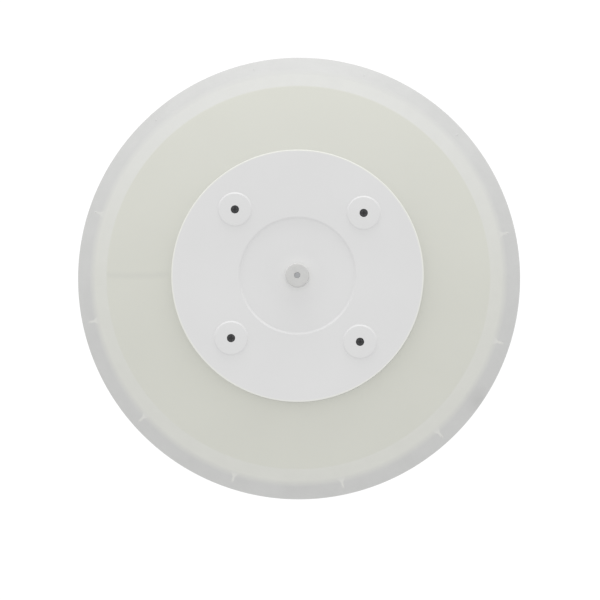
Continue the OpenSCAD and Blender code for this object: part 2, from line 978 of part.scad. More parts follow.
// A bent spring tab: a foot under the rear cover and a leg that reaches down and curls up at its tip
module contact_tabs() {
    foot_z = cover_z - tab_t;
    heel_y = tab_foot_y + tab_foot_l;
    color(brass)
        at_polar(tab_r, terminal_angles)
            difference() {
                translate([-tab_w / 2, 0, 0])
                    rotate([90, 0, 90])
                        linear_extrude(tab_w)
                            polygon([
                                [tab_foot_y, cover_z], [tab_foot_y, foot_z], [heel_y - tab_lean, foot_z],
                                [tab_tip_y - tab_curl, tab_tip_z + tab_skin],
                                [tab_end_y, tab_tip_z + tab_rise + tab_skin],
                                [tab_end_y, tab_tip_z + tab_rise], [tab_tip_y, tab_tip_z],
                                [heel_y, foot_z + tab_heel], [heel_y, cover_z]
                            ]);
                peg(rivet_r, foot_z - over, through);
            }
}

module tab_rivets() {
    foot_z = cover_z - tab_t;
    top_z = cover_in_z + strip_t;
    color(steel)
        at_polar(tab_r, terminal_angles) {
            peg(rivet_r, foot_z - eps, top_z - foot_z + 2 * eps);
            peg(rivet_head_r, top_z, rivet_head_h);
            peg(rivet_head_r, foot_z - rivet_head_h, rivet_head_h);
        }
}

mounting_base();
base_terminals();
clamp_washers();
terminal_screws();
detector_body();
centre_cap();
cap_seal();
cap_screws();
heat_collector();
collector_nut();
fusible_alloy();
release_spring();
plunger_guide();
chamber_plate();
chamber_seal();
clamp_ring();
clamp_ring_screws();
breather_vent();
leaf_block();
leaf_screws();
leaf_strip();
contact_bracket();
bracket_screw();
adjusting_screw();
rear_cover();
rear_cover_screws();
contact_tabs();
tab_rivets();
release_plunger();
diaphragm();
diaphragm_button();
contact_leaf();
leaf_contact();
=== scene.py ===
"""Heat detector on its base: smooth outer shells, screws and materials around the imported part."""
import json
import math

import bmesh
import bpy
from mathutils import Matrix, Vector

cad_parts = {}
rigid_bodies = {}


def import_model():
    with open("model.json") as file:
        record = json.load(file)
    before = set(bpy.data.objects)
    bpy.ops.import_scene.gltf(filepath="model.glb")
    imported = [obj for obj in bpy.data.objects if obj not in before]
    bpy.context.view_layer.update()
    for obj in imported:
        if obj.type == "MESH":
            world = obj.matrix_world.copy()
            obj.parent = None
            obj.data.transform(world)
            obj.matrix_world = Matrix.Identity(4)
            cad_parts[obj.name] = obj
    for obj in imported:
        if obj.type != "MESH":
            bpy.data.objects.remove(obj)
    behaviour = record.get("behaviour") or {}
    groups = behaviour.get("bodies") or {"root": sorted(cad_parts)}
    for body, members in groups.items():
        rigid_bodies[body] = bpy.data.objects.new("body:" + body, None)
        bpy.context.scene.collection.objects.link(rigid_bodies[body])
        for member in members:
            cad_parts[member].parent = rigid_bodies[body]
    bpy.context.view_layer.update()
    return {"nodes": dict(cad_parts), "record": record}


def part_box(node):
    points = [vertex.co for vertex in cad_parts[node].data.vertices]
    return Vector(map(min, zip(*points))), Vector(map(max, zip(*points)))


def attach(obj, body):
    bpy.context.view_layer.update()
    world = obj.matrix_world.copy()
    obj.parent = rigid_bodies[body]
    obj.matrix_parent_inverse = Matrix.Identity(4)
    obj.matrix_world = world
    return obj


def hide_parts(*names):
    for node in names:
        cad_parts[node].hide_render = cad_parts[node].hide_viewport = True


MM = 0.001
FINE_STEPS = 360
PAD_STEPS = 128
HUB_STEPS = 160
SMALL_STEPS = 64
STADIUM_STEPS = 16
CORNER_STEPS = 6
CORNER_SHARE = 0.48
SHOULDER_STEPS = 12
SMOOTH_ANGLE = math.radians(28)
WELD = 1e-5

# Fillets, and how far a cutting solid stands out past what it cuts, in millimetres
SOFT = 1
FILLET = 0.3
SMALL_FILLET = 0.15
TINY_FILLET = 0.1
CLEAR = 1

# Mounting base, in millimetres
PLATE_T = 2.5
BASE_WALL = 1.6
BASE_SIDE_H = 8.0
SPIGOT_T = 0.8
SPIGOT_TOP = 10.5
SPIGOT_EDGE = 0.25
BASE_FOOT_EDGE = 0.5
BASE_EDGE = 0.4
POCKET_R = 54.0
POCKET_DEPTH = 0.8
ENTRY_R = 11.0
ENTRY_COLLAR = 1.8
ENTRY_TOP = 3.95
ENTRY_BOSS = 2.6
BACK_RIBS = 8
BACK_RIB_W = 1.6
BACK_SINK = 0.6
BACK_RIB_GAP = 0.02
BACK_RIB_ROOT = 1.2
SLOT_X = 30.0
SLOT_L = 10.0
SLOT_W = 4.6
SLOT_STEPS = 24
TERMINAL_ANGLES = (45, 135, 225, 315)
POST_X = (25.0, 41.5)
POST_W = 9.0
POST_TOP = 4.3
POST_SINK = 0.6
POST_HOLE_X = 30.0
POST_HOLE_R = 2.0
POST_HOLE_Z = 2.6
HOOK_ANGLES = (90, 210, 330)
HOOK_R = (45.5, 48.5, 50.5)
HOOK_SPAN = 24
HOOK_STOP = 3
HOOK_LIP_Z = 6.7
HOOK_TOP = 8.2
HOOK_SINK = 0.4
HOOK_STEP = 0.02
HOOK_INSET = 0.1

# Head shell
SHELL_T = 2.0
BARREL_R = 56.3
BARREL_BOTTOM = 9.5
BARREL_ROOT = 17.0
BARREL_STEP = 0.6
SKIRT_BOTTOM = 8.3
SKIRT_DRAFT = 0.8
SKIRT_EDGE = 0.4
RIM_SLOPE = math.radians(38)
RIM_EDGE_R = 0.7
SHOULDER_R = 6.6
BAND_END_R = 55.0
BAND_SLOPE = math.radians(22)
FACE_EDGE_R = 51.6
FACE_EDGE_Z = 21.0
FACE_EDGE = 0.6
FACE_SLOPE = math.radians(15)
SEAT_GAP = 0.02
SEAT_LIP = 0.03
SEAT_Z = 25.3
SEAT_T = 2.0
SEAT_OPEN_R = 19.5
RIB_COUNT = 12
RIB_PHASE = 13.7
RIB_HALF_T = 0.16
RIB_FLANK = 1.1
RIB_DEPTH = 1.0
RIB_SLOPE = math.radians(30)
RIB_ROOT_R = 54.6
RIB_ROOT_HALF_W = 2.9
RIB_NECK_R = 57.2
RIB_END_R = 58.2
RIB_BOTTOM = 16.6
RIB_SINK = 0.05
RIB_STEPS = 16
# Width added to the crest's half width, and drop below the crest, at two points of a rib's side
RIB_SIDE = ((0.13, 0.2), (0, 0.04))
RIB_FLAT = 0.6
# Distance back from the rib's end, and how far the crest has dropped there
RIB_TIP = ((0.4, 0), (0.15, 0.12), (0, 0.5))
BOSS_ANGLES = (30, 150, 270)
BOSS_AT_R = 48.0
BOSS_R = 2.6
BOSS_Z = (17.5, 20.9)
BOSS_PILOT_R = 1.1
BOSS_PILOT_TOP = 20.3

# Centre cap and what sits in it
CAP_TOP = 29.2
CAP_T = 2.2
CAP_WALL = 2.0
SCREW_AT = 17.25
CAP_EDGE = 0.25
CAP_FOOT_EDGE = 0.2
CAP_INNER_EDGE = 0.4
PAD_R = 4.65
PAD_H = 0.35
PAD_EDGE = 0.4
PAD_SINK = 0.5
PAD_LIP = 0.02
POST_R = 3
POST_BOTTOM = 19.6
PILOT_R = 0.65
PILOT_BOTTOM = 20.2
RECESS_R = 15.8
RECESS_EDGE = 0.55
RECESS_DEPTH = 0.45
NECK_HOLE_R = 2.65
SEAL_RI = 29.9
SEAL_H = 1.3
SCREW_HEAD_R = 1.06
SCREW_HEAD_EDGE = 0.22
SCREW_HOLE_R = 1.1
SCREW_HOLE_CHAMFER = 0.08
SCREW_HOLE_EDGE = 0.06
SCREW_HOLE_LIP = 0.05
SCREW_SHANK_R = 0.6
SCREW_TIP_Z = 20.6
SCREW_SEAT_Z = 28.0
SCREW_TOP_Z = 29.25
SHANK_HOLE_R = 0.8
CROSS_L = 1.3
CROSS_W = 0.3
CROSS_DEPTH = 0.5
HUB_ROUND = 0.3
HUB_EDGE = 0.08
NECK_R = 2.6
NECK_BORE_R = 1.9
NECK_BOTTOM = 20.9
ALLOY_TOP = 30.55
PIN_HOLE_R = 0.8


# Mesh helpers


def arc(cx, cy, r, start, end, n):
    """Points of an arc as (x, y, 0), angles in degrees."""
    turn = [math.radians(start + (end - start) * i / n) for i in range(n + 1)]
    return [(cx + r * math.cos(a), cy + r * math.sin(a), 0) for a in turn]


def rounded(corners, steps=CORNER_STEPS):
    """A closed outline from (x, y, radius) corners, each rounded to its radius."""
    outline = []
    for i, (x, y, radius) in enumerate(corners):
        here = Vector((x, y))
        if radius <= 0:
            outline.append(here)
            continue
        before = Vector(corners[i - 1][:2]) - here
        after = Vector(corners[(i + 1) % len(corners)][:2]) - here
        half = before.angle(after) / 2
        room = CORNER_SHARE * min(before.length, after.length)
        reach = min(radius / math.tan(half), room)
        radius = reach * math.tan(half)
        centre = here + (before.normalized() + after.normalized()).normalized() * radius / math.sin(half)
        first = here + before.normalized() * reach - centre
        last = here + after.normalized() * reach - centre
        sweep = first.angle_signed(last)
        for k in range(steps + 1):
            spin = Matrix.Rotation(-sweep * k / steps, 2)
            outline.append(centre + spin @ first)
    return outline


def finish_mesh(name, bm):
    """Turns a bmesh in millimetres into an object in metres, with outward faces and smooth shading."""
    bmesh.ops.remove_doubles(bm, verts=bm.verts, dist=WELD)
    bmesh.ops.recalc_face_normals(bm, faces=bm.faces)
    bmesh.ops.scale(bm, vec=(MM, MM, MM), verts=bm.verts)
    mesh = bpy.data.meshes.new(name)
    bm.to_mesh(mesh)
    bm.free()
    obj = bpy.data.objects.new(name, mesh)
    bpy.context.scene.collection.objects.link(obj)
    shade(obj)
    return obj


def shade(obj):
    """Smooth shading with sharp edges where faces meet at a steep angle."""
    obj.data.shade_smooth()
    obj.data.set_sharp_from_angle(angle=SMOOTH_ANGLE)


def even_shading(obj):
    """Lets the big faces set the normals, so flat areas stay flat beside small fillets."""
    change = obj.modifiers.new("even", "WEIGHTED_NORMAL")
    change.keep_sharp = True
    change.weight = 100


def revolve(name, corners, steps=FINE_STEPS, at=((0, 0),)):
    """A closed outline of (radius, z, corner radius) turned around Z, once at each place."""
    outline = rounded(corners)
    bm = bmesh.new()
    for cx, cy in at:
        rings = []
        for r, z in outline:
            if r < WELD:
                rings.append([bm.verts.new((cx, cy, z))] * steps)
                continue
            turn = [2 * math.pi * i / steps for i in range(steps)]
            rings.append([bm.verts.new((cx + r * math.cos(a), cy + r * math.sin(a), z)) for a in turn])
        for low, high in zip(rings, rings[1:] + rings[:1]):
            if low[0] is low[1] and high[0] is high[1]:
                continue
            for i in range(steps):
                k = (i + 1) % steps
                corner = [low[i], low[k], high[k], high[i]]
                unique = [v for j, v in enumerate(corner) if v not in corner[:j]]
                bm.faces.new(unique)
    return finish_mesh(name, bm)


def sector(bm, ri, ro, z0, z1, middle, span):
    """A block between two radii, two heights and two angles."""
    n = max(2, round(span))
    section = ((ri, z0), (ro, z0), (ro, z1), (ri, z1))
    rows = []
    for i in range(n + 1):
        a = math.radians(middle - span / 2 + span * i / n)
        rows.append([bm.verts.new((r * math.cos(a), r * math.sin(a), z)) for r, z in section])
    for low, high in zip(rows, rows[1:]):
        for i in range(4):
            k = (i + 1) % 4
            bm.faces.new((low[i], low[k], high[k], high[i]))
    bm.faces.new(rows[0])
    bm.faces.new(rows[-1])


def prism(bm, outline, low, high, place=Matrix.Identity(4)):
    """An outline in XY pushed from one height to another, then placed."""
    bottom = [bm.verts.new(place @ Vector((x, y, low))) for x, y in outline]
    top = [bm.verts.new(place @ Vector((x, y, high))) for x, y in outline]
    bm.faces.new(bottom)
    bm.faces.new(top)
    for i in range(len(outline)):
        k = (i + 1) % len(outline)
        bm.faces.new((bottom[i], bottom[k], top[k], top[i]))


def stadium(cx, length, width, n=STADIUM_STEPS):
    """A slot's outline along X."""
    reach = (length - width) / 2
    right = arc(cx + reach, 0, width / 2, -90, 90, n)
    left = arc(cx - reach, 0, width / 2, 90, 270, n)
    return [(x, y) for x, y, _ in right + left]


def circle(cx, cy, r, n=SMALL_STEPS):
    """A circle's outline."""
    return [(x, y) for x, y, _ in arc(cx, cy, r, 0, 360 - 360 / n, n - 1)]


def rectangle(x0, x1, width):
    """A rectangle's outline along X."""
    return [(x0, -width / 2), (x1, -width / 2), (x1, width / 2), (x0, width / 2)]


def turned(angle):
    """Turn around Z by an angle in degrees."""
    return Matrix.Rotation(math.radians(angle), 4, "Z")


def combine(target, tool, operation):
    """Joins or cuts two closed solids into one closed solid, and removes the tool."""
    change = target.modifiers.new("combine", "BOOLEAN")
    change.operation = operation
    change.solver = "MANIFOLD"
    change.object = tool
    graph = bpy.context.evaluated_depsgraph_get()
    mesh = bpy.data.meshes.new_from_object(target.evaluated_get(graph))
    target.modifiers.clear()
    target.data = mesh
    bpy.data.objects.remove(tool)
    shade(target)
    return target


def with_prisms(shell, name, solids, operation="UNION"):
    """Joins prisms to a shell, or cuts them from it; each one is what prism() takes."""
    bm = bmesh.new()
    for solid in solids:
        prism(bm, *solid)
    return combine(shell, finish_mesh(name, bm), operation)


def at_cap_screws():
    """Centres of the four cap screws."""
    return [(x, y) for x in (-SCREW_AT, SCREW_AT) for y in (-SCREW_AT, SCREW_AT)]


# Outer shells


def base_ring(base_r):
    """The base's plate, wall and spigot as one turned solid, with the recessed back."""
    inner_r = base_r - BASE_WALL
    spigot_r = inner_r + SPIGOT_T
    boss_r = ENTRY_R + ENTRY_BOSS
    return revolve("base_shell", [
        (ENTRY_R, 0, FILLET), (boss_r, 0, SMALL_FILLET), (boss_r, POCKET_DEPTH, TINY_FILLET),
        (POCKET_R, POCKET_DEPTH, TINY_FILLET), (POCKET_R, 0, SMALL_FILLET), (base_r, 0, BASE_FOOT_EDGE),
        (base_r, BASE_SIDE_H, BASE_EDGE), (spigot_r, BASE_SIDE_H, SMALL_FILLET),
        (spigot_r, SPIGOT_TOP, SPIGOT_EDGE), (inner_r, SPIGOT_TOP, SPIGOT_EDGE),
        (inner_r, PLATE_T, BASE_EDGE), (ENTRY_R + ENTRY_COLLAR, PLATE_T, FILLET),
        (ENTRY_R + ENTRY_COLLAR, ENTRY_TOP, FILLET), (ENTRY_R, ENTRY_TOP, FILLET),
    ])


def base_hooks():
    """Three bayonet hooks: a wall, a lip turned inward, and a stop at one end."""
    lip_r, wall_r, out_r = HOOK_R
    deep_r = out_r - HOOK_SINK
    root = PLATE_T - HOOK_SINK
    span = HOOK_SPAN + HOOK_STOP
    bm = bmesh.new()
    for a in HOOK_ANGLES:
        sector(bm, wall_r, out_r, root, HOOK_TOP, a - HOOK_STOP / 2, span)
    walls = finish_mesh("hook_walls", bm)
    bm = bmesh.new()
    for a in HOOK_ANGLES:
        lip_span = span - HOOK_INSET
        sector(bm, lip_r, deep_r, HOOK_LIP_Z, HOOK_TOP - HOOK_STEP, a - HOOK_STOP / 2, lip_span)
    combine(walls, finish_mesh("hook_lips", bm), "UNION")
    bm = bmesh.new()
    for a in HOOK_ANGLES:
        middle = a - span / 2 + HOOK_INSET
        sector(bm, lip_r, deep_r, root, HOOK_TOP - 2 * HOOK_STEP, middle, HOOK_STOP)
    return combine(walls, finish_mesh("hook_stops", bm), "UNION")


def mounting_base(base_r):
    """The whole base: ring and plate, back ribs, slot bosses, terminal posts and hooks."""
    shell = base_ring(base_r)
    sunk = POCKET_DEPTH + BACK_SINK
    rib = rectangle(ENTRY_R + BACK_RIB_ROOT, POCKET_R + CLEAR, BACK_RIB_W)
    with_prisms(shell, "back_ribs",
                [(rib, BACK_RIB_GAP, sunk, turned(360 / BACK_RIBS * i)) for i in range(BACK_RIBS)])
    boss_l, boss_w = SLOT_L + 2 * ENTRY_BOSS, SLOT_W + 2 * ENTRY_BOSS
    with_prisms(shell, "slot_bosses",
                [(stadium(x, boss_l, boss_w), 0, sunk) for x in (-SLOT_X, SLOT_X)])
    post = rectangle(*POST_X, POST_W)
    with_prisms(shell, "posts",
                [(post, PLATE_T - POST_SINK, POST_TOP, turned(a)) for a in TERMINAL_ANGLES])
    combine(shell, base_hooks(), "UNION")
    slots = [(stadium(x, SLOT_L, SLOT_W, SLOT_STEPS), -CLEAR, PLATE_T + CLEAR) for x in (-SLOT_X, SLOT_X)]
    hole = circle(POST_HOLE_X, 0, POST_HOLE_R)
    holes = [(hole, POST_HOLE_Z, POST_TOP + CLEAR, turned(a)) for a in TERMINAL_ANGLES]
    return with_prisms(shell, "base_cuts", slots + holes, "DIFFERENCE")


def rib_section(r, root_z):
    """Half of a rib's width, and its crest's height, at a radius."""
    share = max(0, (RIB_NECK_R - r) / (RIB_NECK_R - RIB_ROOT_R))
    half = RIB_HALF_T + (RIB_ROOT_HALF_W - RIB_HALF_T) * share ** 2
    return half, root_z - (r - RIB_ROOT_R) * math.tan(RIB_SLOPE)


def grip_ribs(root_z):
    """Fins that carry the band out over the rim, wide at the root and hollow-sided."""
    length = RIB_NECK_R - RIB_ROOT_R
    run = [(RIB_ROOT_R + length * i / RIB_STEPS, 0) for i in range(RIB_STEPS + 1)]
    run += [(RIB_END_R - back, drop) for back, drop in RIB_TIP]
    bm = bmesh.new()
    for i in range(RIB_COUNT):
        place = turned(RIB_PHASE + 360 / RIB_COUNT * i)
        rows = []
        for r, drop in run:
            half, top = rib_section(r, root_z)
            top -= drop
            foot = half + RIB_FLANK
            side = [(foot, RIB_BOTTOM), (foot, top - RIB_DEPTH)]
            side += [(half + out, top - down) for out, down in RIB_SIDE]
            side.append((half * RIB_FLAT, top))
            section = side + [(-y, z) for y, z in reversed(side)]
            rows.append([bm.verts.new(place @ Vector((r, y, z))) for y, z in section])
        for low, high in zip(rows, rows[1:]):
            for k, here in enumerate(low):
                after = (k + 1) % len(low)
                bm.faces.new((here, low[after], high[after], high[k]))
        bm.faces.new(rows[0])
        bm.faces.new(rows[-1])
    return finish_mesh("ribs", bm)


def shell_outline(head_r, cap_r):
    """Corners of the head shell's section, from the barrel round the skirt and face to the seat."""
    drop = (BAND_END_R - FACE_EDGE_R) * math.tan(BAND_SLOPE)
    centre_x = BAND_END_R - SHOULDER_R * math.sin(BAND_SLOPE)
    centre_z = FACE_EDGE_Z - drop - SHOULDER_R * math.cos(BAND_SLOPE)
    start, end = 90 - math.degrees(RIM_SLOPE), 90 - math.degrees(BAND_SLOPE)
    shoulder = arc(centre_x, centre_z, SHOULDER_R, start, end, SHOULDER_STEPS)
    rim_z = shoulder[0][1] - (head_r - shoulder[0][0]) * math.tan(RIM_SLOPE)
    skirt_in = head_r - SHELL_T
    root_z = rim_z + SHELL_T * math.tan(RIM_SLOPE) - SHELL_T / math.cos(RIM_SLOPE)
    flange_z = root_z + (skirt_in - BARREL_R) * math.tan(RIM_SLOPE)
    seat_r = cap_r + SEAT_GAP
    face_in_z = FACE_EDGE_Z + (FACE_EDGE_R - seat_r) * math.tan(FACE_SLOPE)
    inner_r = BARREL_R - SHELL_T
    return [
        (inner_r, BARREL_BOTTOM, FILLET), (BARREL_R, BARREL_BOTTOM, FILLET), (BARREL_R, flange_z, FILLET),
        (skirt_in, root_z, FILLET), (skirt_in, SKIRT_BOTTOM, SMALL_FILLET),
        (head_r - SKIRT_DRAFT, SKIRT_BOTTOM, SKIRT_EDGE),
        (head_r, rim_z, RIM_EDGE_R), *shoulder, (FACE_EDGE_R, FACE_EDGE_Z, FACE_EDGE),
        (seat_r, face_in_z, SEAT_LIP), (seat_r, SEAT_Z, 0), (SEAT_OPEN_R, SEAT_Z, FILLET),
        (SEAT_OPEN_R, SEAT_Z - SEAT_T, FILLET), (seat_r - SOFT, SEAT_Z - SEAT_T, SOFT),
        (FACE_EDGE_R, FACE_EDGE_Z - SHELL_T / math.cos(FACE_SLOPE), SOFT),
        (inner_r - BARREL_STEP, BARREL_ROOT + SOFT, FILLET), (inner_r, BARREL_ROOT, FILLET),
    ]


def detector_body(head_r, cap_r):
    """The head's shell with its grip ribs, screw bosses and cap posts."""
    shell = revolve("body_shell", shell_outline(head_r, cap_r))
    root_z = FACE_EDGE_Z - (RIB_ROOT_R - FACE_EDGE_R) * math.tan(BAND_SLOPE) - RIB_SINK
    combine(shell, grip_ribs(root_z), "UNION")
    boss = circle(BOSS_AT_R, 0, BOSS_R)
    pilot = circle(BOSS_AT_R, 0, BOSS_PILOT_R)
    with_prisms(shell, "screw_bosses", [(boss, *BOSS_Z, turned(a)) for a in BOSS_ANGLES])
    with_prisms(shell, "boss_pilots",
                [(pilot, BOSS_Z[0] - CLEAR, BOSS_PILOT_TOP, turned(a)) for a in BOSS_ANGLES], "DIFFERENCE")
    with_prisms(shell, "cap_posts",
                [(circle(x, y, POST_R), POST_BOTTOM, SEAT_Z - SEAT_T / 2) for x, y in at_cap_screws()])
    pilots = [(circle(x, y, PILOT_R), PILOT_BOTTOM, SEAT_Z + CLEAR) for x, y in at_cap_screws()]
    return with_prisms(shell, "cap_pilots", pilots, "DIFFERENCE")


def centre_cap(cap_r):
    """The raised cap: its disc, wall and recess, four pads, and four posts with screw holes."""
    under = CAP_TOP - CAP_T
    recess_z = CAP_TOP - RECESS_DEPTH
    wall_r = cap_r - CAP_WALL
    shell = revolve("cap_shell", [
        (NECK_HOLE_R, under, 0), (SEAL_RI, under, CAP_INNER_EDGE),
        (SEAL_RI, SEAT_Z + SEAL_H, TINY_FILLET), (wall_r, SEAT_Z + SEAL_H, TINY_FILLET),
        (wall_r, SEAT_Z, CAP_FOOT_EDGE), (cap_r, SEAT_Z, CAP_FOOT_EDGE),
        (cap_r, CAP_TOP, CAP_EDGE), (RECESS_R, CAP_TOP, SMALL_FILLET),
        (RECESS_R - RECESS_EDGE, recess_z, SMALL_FILLET), (NECK_HOLE_R, recess_z, TINY_FILLET),
    ])
    pads = revolve("pads", [
        (0, CAP_TOP - PAD_SINK, 0), (PAD_R, CAP_TOP - PAD_SINK, 0), (PAD_R, CAP_TOP - PAD_LIP, 0),
        (PAD_R - PAD_EDGE, CAP_TOP + PAD_H, SMALL_FILLET), (0, CAP_TOP + PAD_H, 0),
    ], PAD_STEPS, at_cap_screws())
    combine(shell, pads, "UNION")
    with_prisms(shell, "posts",
                [(circle(x, y, POST_R), SEAT_Z, under + PAD_SINK) for x, y in at_cap_screws()])
    mouth = CAP_TOP + PAD_H
    mouth_r = SCREW_HOLE_R + SCREW_HOLE_CHAMFER
    holes = revolve("holes", [
        (0, SEAT_Z - CLEAR, 0), (SHANK_HOLE_R, SEAT_Z - CLEAR, 0), (SHANK_HOLE_R, SCREW_SEAT_Z, 0),
        (SCREW_HOLE_R, SCREW_SEAT_Z, 0), (SCREW_HOLE_R, mouth - SCREW_HOLE_EDGE, SCREW_HOLE_LIP),
        (mouth_r, mouth + PAD_LIP, 0), (mouth_r, mouth + CLEAR, 0), (0, mouth + CLEAR, 0),
    ], SMALL_STEPS, at_cap_screws())
    return combine(shell, holes, "DIFFERENCE")


def cap_screws():
    """Four small black screws with a rounded head and a cross recess."""
    screws = revolve("cap_screw_set", [
        (0, SCREW_TIP_Z, 0), (SCREW_SHANK_R, SCREW_TIP_Z, SMALL_FILLET),
        (SCREW_SHANK_R, SCREW_SEAT_Z, 0), (SCREW_HEAD_R, SCREW_SEAT_Z, TINY_FILLET),
        (SCREW_HEAD_R, SCREW_TOP_Z, SCREW_HEAD_EDGE), (0, SCREW_TOP_Z, 0),
    ], SMALL_STEPS, at_cap_screws())
    bar = rectangle(-CROSS_L / 2, CROSS_L / 2, CROSS_W)
    for turn in (0, 90):
        places = [Matrix.Translation((x, y, 0)) @ turned(turn) for x, y in at_cap_screws()]
        bars = [(bar, SCREW_TOP_Z - CROSS_DEPTH, SCREW_TOP_Z + CLEAR, place) for place in places]
        with_prisms(screws, "cross", bars, "DIFFERENCE")
    return screws


def heat_collector(hub_r, hub_top):
    """The hub on its neck, with the hole that shows the plunger's end."""
    recess_z = CAP_TOP - RECESS_DEPTH
    return revolve("collector_hub", [
        (NECK_BORE_R, NECK_BOTTOM, TINY_FILLET), (NECK_R, NECK_BOTTOM, TINY_FILLET),
        (NECK_R, recess_z, 0), (hub_r, recess_z, HUB_EDGE), (hub_r, hub_top, HUB_ROUND),
        (PIN_HOLE_R, hub_top, HUB_EDGE), (PIN_HOLE_R, ALLOY_TOP, 0), (NECK_BORE_R, ALLOY_TOP, 0),
    ], HUB_STEPS)


# Materials


# Tints
BASE_TINT = (0.61, 0.61, 0.60)
FACE_TINT = (0.66, 0.665, 0.605)
# Painted shade: the face darker beside the cap on the +Y side
CAP_SIDE_SHADE_TINT = (0.63, 0.634, 0.583)
# Painted shade: a faint darker streak across the face on the -X side
SHADE_STREAK_TINT = (0.633, 0.638, 0.585)
BAND_TINT = (0.683, 0.687, 0.645)
# Painted reflection: the band's tint on the +Y side, less yellow where the soft box shines on it
BAND_SHEEN_TINT = (0.680, 0.684, 0.662)
RIM_TINT = (0.588, 0.59, 0.581)
# Painted shade: one dark patch on the rim
SHADE_PATCH_TINT = (0.53, 0.531, 0.522)
# Painted highlight: pale lines down the rib crests, away from the +Y side
FIN_HIGHLIGHT_TINT = (0.69, 0.692, 0.663)
CAP_TINT = (0.735, 0.735, 0.735)
# Painted highlight: the cap's edge and upper wall lighter and a little yellow
CAP_EDGE_LIGHT_TINT = (0.80, 0.805, 0.76)
# Painted light: the cap lighter round the hub, to lift the shade at the hub's foot
HUB_FOOT_LIGHT_TINT = (0.823, 0.823, 0.818)
RUBBER_TINT = (0.018, 0.018, 0.018)
RUBBER_DUST_TINT = (0.05, 0.048, 0.045)
TABLE_TINTS = ((0.11, 0.11, 0.11), (0.13, 0.13, 0.13))
PLAIN_WHITE = (1, 1, 1)

# Colour inputs and output of a Mix node, by number, since their names repeat
MIX_COLOURS = (6, 7)
MIX_RESULT = 2

# Wear: width of the worn edge in metres, its strength, and how much lighter it is
PLASTIC_WEAR = (0.0003, 0.5, 1.08)
METAL_WEAR = (0.0002, 0.5, 1.15)
EDGE_LEAN = (0.75, 0.98)

# How far the roughness swings below and above its middle
PLASTIC_GLOSS = (0.06, 0.08)
METAL_GLOSS = (0.07, 0.12)
STAIN_SPAN = (0.35, 0.75)

# Where the marks on the face start and end, in metres
BAND_START = (0.05155, 0.05195)
RIM_START = (0.0548, 0.0566)
# How far out from the axis the painted shade beside the cap reaches
CAP_SIDE_SHADE_REACH = (0.034, 0.052)
# The +Y side, towards the lamp, where the painted reflection on the band and the painted shade beside the
# cap go
LAMP_SIDE_REACH = (0, 0.04)
BAND_CLOUD = (190, 0.012)
RIM_CLOUD = (150, 0.022)
FIN_START = (0.0548, 0.0560)
FIN_TAPER = (0.0546, 0.0566)
FIN_HALF_W = (0.0013, 0.0001)
FIN_BLUR = 0.0004
FIN_END = (0.0576, 0.0584)
# The painted patch of shade on the rim: its centre, its reach and its ragged edge
SHADE_PATCH_AT = (0.0496, -0.0318, 0.0170)
SHADE_PATCH_REACH = (0.0015, 0.006)
SHADE_PATCH_RAGGED = 0.003
# The painted streak of shade: its waver, its half width, and where it stops near the cap
SHADE_STREAK_SWING = 0.0018
SHADE_STREAK_HALF_W = (0.0002, 0.0013)
SHADE_STREAK_END = (-0.0365, -0.0335)
# Where the painted highlight on the cap's edge starts, by radius and by height
CAP_EDGE_LIGHT_FROM = (0.0333, 0.0336)
CAP_EDGE_LIGHT_ABOVE = (0.0278, 0.0287)
# How far the painted light round the hub reaches
HUB_FOOT_LIGHT_REACH = (0.0031, 0.0075)


def feed(tree, socket, value):
    """Links a socket to another node's socket, or sets it to a number, a vector or a colour."""
    if isinstance(value, bpy.types.NodeSocket):
        tree.links.new(value, socket)
    elif socket.type == "RGBA":
        socket.default_value = (*value, 1)
    else:
        socket.default_value = value


def node(tree, kind, **inputs):
    """A shader node with its inputs fed by name."""
    made = tree.nodes.new(kind)
    for key, value in inputs.items():
        feed(tree, made.inputs[key.replace("_", " ")], value)
    return made


def noise(tree, place, scale, detail=3, rough=0.5):
    """Grey noise over the object's coordinates."""
    made = node(tree, "ShaderNodeTexNoise", Vector=place, Scale=scale, Detail=detail, Roughness=rough)
    return made.outputs["Fac"]


def spread(tree, value, low, high, span=(0.3, 0.7)):
    """Runs from low to high while the value runs over the span."""
    made = node(tree, "ShaderNodeMapRange", Value=value, From_Min=span[0], From_Max=span[1])
    feed(tree, made.inputs["To Min"], low)
    feed(tree, made.inputs["To Max"], high)
    return made.outputs["Result"]


def mixed(tree, factor, first, last):
    """Mix of two colours, plain or another node's, by the factor."""
    made = tree.nodes.new("ShaderNodeMix")
    made.data_type = "RGBA"
    feed(tree, made.inputs["Factor"], factor)
    for place, colour in zip(MIX_COLOURS, (first, last)):
        feed(tree, made.inputs[place], colour)
    return made.outputs[MIX_RESULT]


def maths(tree, operation, *values):
    """Result of a math node."""
    made = tree.nodes.new("ShaderNodeMath")
    made.operation = operation
    for socket, value in zip(made.inputs, values):
        feed(tree, socket, value)
    return made.outputs["Value"]


def vectors(tree, operation, *values):
    """A vector math node."""
    made = tree.nodes.new("ShaderNodeVectorMath")
    made.operation = operation
    for socket, value in zip(made.inputs, values):
        feed(tree, socket, value)
    return made


def from_axis(tree, place):
    """Distance from the object's axis."""
    flat = vectors(tree, "MULTIPLY", place, (1, 1, 0)).outputs["Vector"]
    return vectors(tree, "LENGTH", flat).outputs["Value"]


def start_material(name, metallic, specular):
    """A new material, with its tree, its shader and the object's coordinates."""
    material = bpy.data.materials.new(name)
    material.use_nodes = True
    tree = material.node_tree
    shader = tree.nodes["Principled BSDF"]
    shader.inputs["Metallic"].default_value = metallic
    shader.inputs["Specular IOR Level"].default_value = specular
    place = tree.nodes.new("ShaderNodeTexCoord").outputs["Object"]
    return material, tree, shader, place


